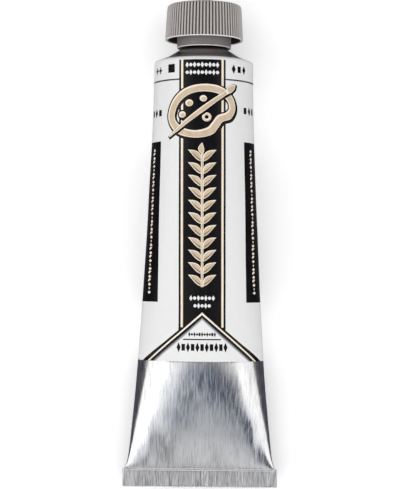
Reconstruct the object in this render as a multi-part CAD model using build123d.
from build123d import *
import math
import os

# ---------------------------------------------------------------------------
# A squeezable artists' paint tube of about 40 ml: an impact-extruded
# aluminium body with a threaded neck, folded shut at its far end, printed
# with a lacquer coat, filled with paint, sealed by a membrane and closed by a
# fluted screw cap that carries a piercing spike.
#
# Everything is drawn standing up (axis = +Z, printed front = -Y, the body's
# upper corner at Z = 0) and then laid down on its back at the very end:
# row frame: +Y towards the cap, +Z up out of the printed front, X across.
# All lengths in millimetres.
# ---------------------------------------------------------------------------

# --- body -------------------------------------------------------------------
BODY_R = 12.5            # round end of the body, outside the aluminium
WALL = 0.15              # drawn wall of the soft aluminium body
COAT = 0.05              # printed lacquer coat on top of the wall
SHOULDER_WALL = 0.60     # the shoulder is left thicker by the extrusion
# distance below the upper corner, half width, half thickness (with the coat)
PROFILE = [
    (0.0, 12.50, 12.50),
    (4.0, 12.50, 12.50),
    (19.4, 12.90, 12.08),
    (27.5, 13.25, 11.70),
    (35.6, 13.62, 11.25),
    (43.7, 14.00, 10.75),
    (51.8, 14.42, 10.20),
    (59.8, 14.88, 9.55),
    (67.9, 15.38, 8.80),
    (76.0, 15.90, 7.70),
    (84.1, 16.52, 6.00),
    (92.2, 17.28, 3.95),
    (96.4, 17.72, 2.75),
    (100.6, 18.34, 1.25),
    (101.6, 18.68, 0.80),
    (102.5, 19.05, 0.28),
]
FOLD_TOP = 102.5         # where the flattened end starts
FOLD_BOTTOM = 107.0      # lower edge of the folded end
CAVITY_END = 101.6       # the walls close on each other below this
FOLD_W = 38.9            # width of the flattened, folded end
FOLD_SHEET = 0.36        # one folded layer: two walls and the sealant film
FOLD_GAP = 0.04          # left between the folded layers
LABEL_END = 74.9         # lower edge of the printed coat

# --- shoulder, cone and neck -------------------------------------------------
CORNER_R = 0.9           # rounding between wall and shoulder
COAT_TOP_R = 11.4        # the coat stops here on the shoulder
KNEE_R = 9.3             # the shoulder steepens here into the cone
KNEE_Z = 1.15
CONE_TOP_R = 5.55        # bare cone between the shoulder and the neck
CONE_TOP_Z = 3.55
NECK_TOP = 12.45
BORE_R = 4.0
THREAD_R = 5.50          # outside of the neck thread
THREAD_ROOT_R = 4.90
PITCH = 1.50
NECK_THREAD_Z0 = 5.3     # first and last thread centre on the neck
NECK_THREAD_TURNS = 3.75
THREAD_ROOT_W = 0.84
THREAD_TIP_W = 0.40
CLEAR = 0.15             # radial clearance of the cap thread

# --- membrane, liner, sealant ------------------------------------------------
MEMBRANE_T = 0.15
LINER_T = 0.80
LINER_R = 5.45
PAINT_GAP = 0.12         # the paint body is drawn this far inside the wall

# --- cap ---------------------------------------------------------------------
SKIRT_BOTTOM = 5.70
CAP_TOP = 14.50
SKIRT_R_BOTTOM = 9.85    # over the ribs
SKIRT_R_TOP = 9.36
FLUTES = 72
FLUTE_DEPTH = 0.34
CAP_EDGE_R = 0.70
SKIRT_IN_R_BOTTOM = 9.12
SKIRT_IN_R_TOP = 8.55
RECESS_TOP = 12.60       # top of the open ring between skirt and sleeve
SLEEVE_BOTTOM = 3.66
SLEEVE_R_BOTTOM = 6.80
SLEEVE_R_TOP = 6.95
SLEEVE_BORE_R = THREAD_R + CLEAR
SLEEVE_LEAD = 0.55       # chamfer at the mouth of the sleeve
CEILING = 13.30
CAP_THREAD_TURNS = 3.0
SPIKE_R = 2.62
SPIKE_H = 4.50
SPIKE_TIP_R = 0.35

# --- laying the tube down ----------------------------------------------------
# The belly is slightly curved, so the closed tube rests with its cap end
# raised, and the soft wall settles into a narrow flat land under the centre
# of mass, which keeps it from rolling.
TILT = 3.85              # degrees
LAY_Y = 43.920           # row Y of the upper corner's centre
LAY_Z = 13.500           # row Z of the upper corner's centre
LAND = 13.500            # the land's distance from the upper corner's centre


def profile(s):
    """Half width and half thickness at a distance below the corner."""
    pts = PROFILE
    if s <= pts[0][0]:
        return pts[0][1], pts[0][2]
    if s >= pts[-1][0]:
        return pts[-1][1], pts[-1][2]
    n = len(pts)
    out = []
    for k in (1, 2):
        x = [p[0] for p in pts]
        y = [p[k] for p in pts]
        h = [x[i + 1] - x[i] for i in range(n - 1)]
        d = [(y[i + 1] - y[i]) / h[i] for i in range(n - 1)]
        m = [0.0] * n
        m[0], m[-1] = d[0], d[-1]
        for i in range(1, n - 1):
            if d[i - 1] * d[i] > 0:
                w1, w2 = 2 * h[i] + h[i - 1], h[i] + 2 * h[i - 1]
                m[i] = (w1 + w2) / (w1 / d[i - 1] + w2 / d[i])
        i = max(j for j in range(n - 1) if x[j] <= s)
        t = (s - x[i]) / h[i]
        out.append((2 * t**3 - 3 * t**2 + 1) * y[i] + (t**3 - 2 * t**2 + t) * h[i] * m[i]
                   + (-2 * t**3 + 3 * t**2) * y[i + 1] + (t**3 - t**2) * h[i] * m[i + 1])
    return out[0], out[1]


ROUND_END = 4.0
STATIONS = [4.0, 8.0, 13.0, 19.4, 27.5, 35.6, 43.7, 51.8, 59.8, 67.9, LABEL_END, 84.1,
            90.0, 94.5, 97.6, 100.0, 101.6, FOLD_TOP]


def skin(inset, s1=FOLD_TOP):
    """Solid inside the body's outer surface, moved inwards by inset.

    It starts ROUND_END below the corner, where the section is still a circle.
    """
    ss = sorted({ROUND_END, s1} | {s for s in STATIONS if ROUND_END < s < s1})
    faces = []
    for s in ss:
        a, b = profile(s)
        if s == ROUND_END:
            section = Circle(BODY_R - inset)
        else:
            section = Ellipse(a - inset, max(b - inset, 0.12))
        faces.append(Plane.XY.offset(-s) * section)
    solid = loft(faces, ruled=True)
    # every layer follows the flat land that the tube rests on
    t = math.radians(TILT)
    down = Vector(0, math.cos(t), -math.sin(t))
    land = Plane(origin=down * (LAND - inset), x_dir=(1, 0, 0), z_dir=down)
    return solid - land * Pos(0, 0, 20) * Box(80, 200, 40)


def turned(points):
    """Solid of revolution about Z from (radius, height) points."""
    with BuildPart() as p:
        with BuildSketch(Plane.XZ):
            with BuildLine():
                Polyline(*[(r, z) for r, z in points], close=True)
            make_face()
        revolve(axis=Axis.Z)
    return p.part


def shoulder_points(offset):
    """Rounded corner between the wall and the shoulder, moved inwards."""
    # wall -> corner arc -> shoulder slope -> (cone)
    slope = math.atan2(KNEE_Z, BODY_R - 0.1 - KNEE_R)
    # corner circle is tangent to the wall and to the slope line
    nx, nz = math.sin(slope), math.cos(slope)
    # slope line passes through (KNEE_R, KNEE_Z)
    cx = BODY_R - CORNER_R
    cz = KNEE_Z + (KNEE_R - cx) * nx / nz - CORNER_R / nz
    pts = []
    r = CORNER_R - offset
    for i in range(9):
        a = (math.pi / 2 - slope) * i / 8.0
        pts.append((cx + r * math.cos(a), cz + r * math.sin(a)))
    return pts, (cx, cz), slope


corner, (CX, CZ), SLOPE = shoulder_points(0.0)
WALL_TOP = CZ            # height where the straight wall meets the corner


def shoulder_solid(offset, wall_r=None, cone=True):
    """Closed solid under the shoulder contour, moved inwards by offset.

    Its straight part, down to ROUND_END, has the radius wall_r.
    """
    wall_r = BODY_R - offset if wall_r is None else wall_r
    pts, c, slope = shoulder_points(offset)
    nx, nz = math.sin(slope), math.cos(slope)
    cone_a = math.atan2(CONE_TOP_Z - KNEE_Z, KNEE_R - CONE_TOP_R)
    # point where the two offset slopes cross
    n1 = (nx, nz)
    n2 = (math.sin(cone_a), math.cos(cone_a))
    d1 = n1[0] * KNEE_R + n1[1] * KNEE_Z - offset
    d2 = n2[0] * KNEE_R + n2[1] * KNEE_Z - offset
    det = n1[0] * n2[1] - n1[1] * n2[0]
    knee = ((d1 * n2[1] - n1[1] * d2) / det, (n1[0] * d2 - d1 * n2[0]) / det)
    out = [(0.0, -ROUND_END), (wall_r, -ROUND_END)]
    if abs(wall_r - (BODY_R - offset)) > 1e-6:
        out += [(wall_r, WALL_TOP)]
    out += pts + [knee]
    if cone:
        r2 = CONE_TOP_R
        z2 = (d2 - n2[0] * r2) / n2[1]
        out += [(r2, z2), (0.0, z2)]
    else:
        out += [(0.0, knee[1])]
    return turned(out)


def ridge(r_root, r_tip, w_root, w_tip, z0, turns, inward=False):
    """Helical thread ridge, right-handed, embedded 0.12 into its cylinder."""
    sink = 0.12 if not inward else -0.12
    path = Helix(PITCH, PITCH * turns, r_root, center=(0, 0, z0))
    rs = r_root - sink
    slope_w = (w_root - w_tip) / 2 / abs(r_tip - r_root) * abs(sink)
    with BuildSketch(Plane.XZ) as sk:
        with BuildLine():
            Polyline((rs, z0 - w_root / 2 - slope_w), (r_tip, z0 - w_tip / 2),
                     (r_tip, z0 + w_tip / 2), (rs, z0 + w_root / 2 + slope_w), close=True)
        make_face()
    return sweep(sk.sketch, path=path, is_frenet=True)


# ============================ tube body =======================================
# the wall: everything inside the outer surface, less everything inside the wall

outer_wall = skin(COAT)
inner_wall = skin(COAT + WALL, s1=CAVITY_END)
outer_top = shoulder_solid(COAT)
inner_top = shoulder_solid(COAT + SHOULDER_WALL, wall_r=BODY_R - COAT - WALL)

neck_outer = turned([(0, CONE_TOP_Z - 1.2), (THREAD_ROOT_R, CONE_TOP_Z - 1.2),
                     (THREAD_ROOT_R, NECK_TOP - 0.3), (THREAD_ROOT_R - 0.3, NECK_TOP),
                     (0, NECK_TOP)])
neck_thread = ridge(THREAD_ROOT_R, THREAD_R, THREAD_ROOT_W, THREAD_TIP_W,
                    NECK_THREAD_Z0, NECK_THREAD_TURNS)
bore = Pos(0, 0, (NECK_TOP + 1 + 0.5) / 2) * Cylinder(BORE_R, NECK_TOP + 1 - 0.5)

# the flattened end: one doubled sheet folded to the front twice
step = FOLD_SHEET + FOLD_GAP
z_top = -(FOLD_TOP - 0.25)
z_hi = -(FOLD_TOP + FOLD_SHEET / 2 + 0.02)
z_lo = -(FOLD_BOTTOM - FOLD_SHEET / 2)
route = [(0.0, z_top), (0.0, z_lo), (-step, z_lo), (-step, z_hi), (-2 * step, z_hi),
         (-2 * step, z_lo + 0.35)]


def folded(half, width, cut=0.0):
    """Sheet of thickness 2*half following the folded route, across X."""
    pts = list(route)
    if cut:
        pts[-1] = (pts[-1][0], pts[-1][1] + cut)
    solid = None
    for (y0, z0), (y1, z1) in zip(pts, pts[1:]):
        lo_y, hi_y = min(y0, y1) - half, max(y0, y1) + half
        lo_z, hi_z = min(z0, z1) - half, max(z0, z1) + half
        slab = Pos(0, (lo_y + hi_y) / 2, (lo_z + hi_z) / 2) * Box(width, hi_y - lo_y, hi_z - lo_z)
        solid = slab if solid is None else solid + slab
    return solid


fold_outer = folded(FOLD_SHEET / 2, FOLD_W)
film = folded(0.03, FOLD_W - 0.8, cut=0.2) & Pos(0, 0, -(FOLD_TOP + 10.15)) * Box(60, 20, 20)

tube_body = outer_wall + outer_top + neck_outer
tube_body = tube_body + neck_thread
tube_body = tube_body + fold_outer
tube_body = tube_body - inner_wall - inner_top - bore - film
tube_body = tube_body.solids().sort_by(SortBy.VOLUME)[-1]

# ============================ printed coat ====================================
coat_outer = skin(0.0, s1=LABEL_END) + shoulder_solid(0.0)
coat_inner = skin(COAT, s1=LABEL_END) + shoulder_solid(COAT)
printed_coat = coat_outer - coat_inner - Pos(0, 0, 10) * Cylinder(COAT_TOP_R, 20)
printed_coat = printed_coat.solids().sort_by(SortBy.VOLUME)[-1]

# ============================ membrane ========================================
nozzle_membrane = Pos(0, 0, NECK_TOP - 0.25 - MEMBRANE_T / 2) * Cylinder(BORE_R, MEMBRANE_T)

# ============================ sealant and paint ===============================
end_sealant = film.solids().sort_by(SortBy.VOLUME)[-1]

g = COAT + WALL + PAINT_GAP
paint_wall = skin(g, s1=100.0)
paint_top = shoulder_solid(COAT + SHOULDER_WALL + PAINT_GAP, wall_r=BODY_R - g)
paint_neck = Pos(0, 0, NECK_TOP / 2 - 0.25) * Cylinder(BORE_R - 0.06, NECK_TOP - 0.5 - MEMBRANE_T)
paint_fill = paint_wall + paint_top + paint_neck
paint_fill = paint_fill.solids().sort_by(SortBy.VOLUME)[-1]

# ============================ cap =============================================


def fluted(r, z):
    """Fluted outline: ribs out to r, grooves FLUTE_DEPTH deeper."""
    pts = []
    for i in range(FLUTES):
        for f, rr in ((-0.20, r), (0.20, r), (0.36, r - FLUTE_DEPTH), (0.64, r - FLUTE_DEPTH)):
            a = 2 * math.pi * (i + f) / FLUTES
            pts.append((rr * math.cos(a), rr * math.sin(a), z))
    return Face(Wire.make_polygon([Vector(*p) for p in pts], close=True))


ribs = loft([fluted(SKIRT_R_BOTTOM, SKIRT_BOTTOM), fluted(SKIRT_R_TOP, CAP_TOP)], ruled=True)
arc = [(SKIRT_R_TOP - CAP_EDGE_R + CAP_EDGE_R * math.cos(t), CAP_TOP - CAP_EDGE_R + CAP_EDGE_R * math.sin(t))
       for t in [math.pi / 2 * i / 6 for i in range(7)]]
envelope = turned([(0, SKIRT_BOTTOM), (SKIRT_R_BOTTOM - 0.12, SKIRT_BOTTOM), (SKIRT_R_BOTTOM, SKIRT_BOTTOM + 0.12),
                   ] + arc + [(0, CAP_TOP)])
skirt = ribs & envelope
recess = turned([(SLEEVE_R_BOTTOM, SLEEVE_BOTTOM - 1), (SKIRT_IN_R_BOTTOM, SLEEVE_BOTTOM - 1),
                 (SKIRT_IN_R_BOTTOM, SKIRT_BOTTOM), (SKIRT_IN_R_TOP, RECESS_TOP),
                 (SLEEVE_R_TOP, RECESS_TOP), (SLEEVE_R_BOTTOM, SLEEVE_BOTTOM)])
sleeve = turned([(0, SLEEVE_BOTTOM), (SLEEVE_R_BOTTOM - 0.15, SLEEVE_BOTTOM),
                 (SLEEVE_R_BOTTOM, SLEEVE_BOTTOM + 0.15), (SLEEVE_R_TOP, RECESS_TOP + 0.3),
                 (0, RECESS_TOP + 0.3)])
hollow = turned([(0, SLEEVE_BOTTOM - 1), (SLEEVE_BORE_R + SLEEVE_LEAD, SLEEVE_BOTTOM - 1),
                 (SLEEVE_BORE_R + SLEEVE_LEAD, SLEEVE_BOTTOM), (SLEEVE_BORE_R, SLEEVE_BOTTOM + SLEEVE_LEAD),
                 (SLEEVE_BORE_R, CEILING), (0, CEILING)])
spike = turned([(0, CAP_TOP - 0.3), (SPIKE_R, CAP_TOP - 0.3), (SPIKE_R, CAP_TOP + 0.25),
                (SPIKE_R - 0.25, CAP_TOP + 0.5), (SPIKE_TIP_R, CAP_TOP + SPIKE_H - 0.25),
                (0, CAP_TOP + SPIKE_H)])
cap_ridge = ridge(SLEEVE_BORE_R, THREAD_ROOT_R + CLEAR, 0.80, 0.36,
                  NECK_THREAD_Z0 + PITCH / 2, CAP_THREAD_TURNS, inward=True)
screw_cap = skirt - recess + sleeve - hollow + spike
screw_cap = screw_cap + cap_ridge
screw_cap = screw_cap.solids().sort_by(SortBy.VOLUME)[-1]

cap_liner = Pos(0, 0, CEILING - 0.02 - LINER_T / 2) * Cylinder(LINER_R, LINER_T)

# ============================ lay down and write ==============================
LAY = Location((0, LAY_Y, LAY_Z), (-90 + TILT, 0, 0))
NODES = {
    "tube_body": tube_body,
    "printed_coat": printed_coat,
    "end_sealant": end_sealant,
    "nozzle_membrane": nozzle_membrane,
    "paint_fill": paint_fill,
    "cap_liner": cap_liner,
    "screw_cap": screw_cap,
}

os.makedirs("parts", exist_ok=True)
for name, shape in NODES.items():
    placed = LAY * shape
    export_step(placed, "parts/" + name + ".step")
    print(name, "volume", round(placed.volume, 2), "valid", placed.is_valid)
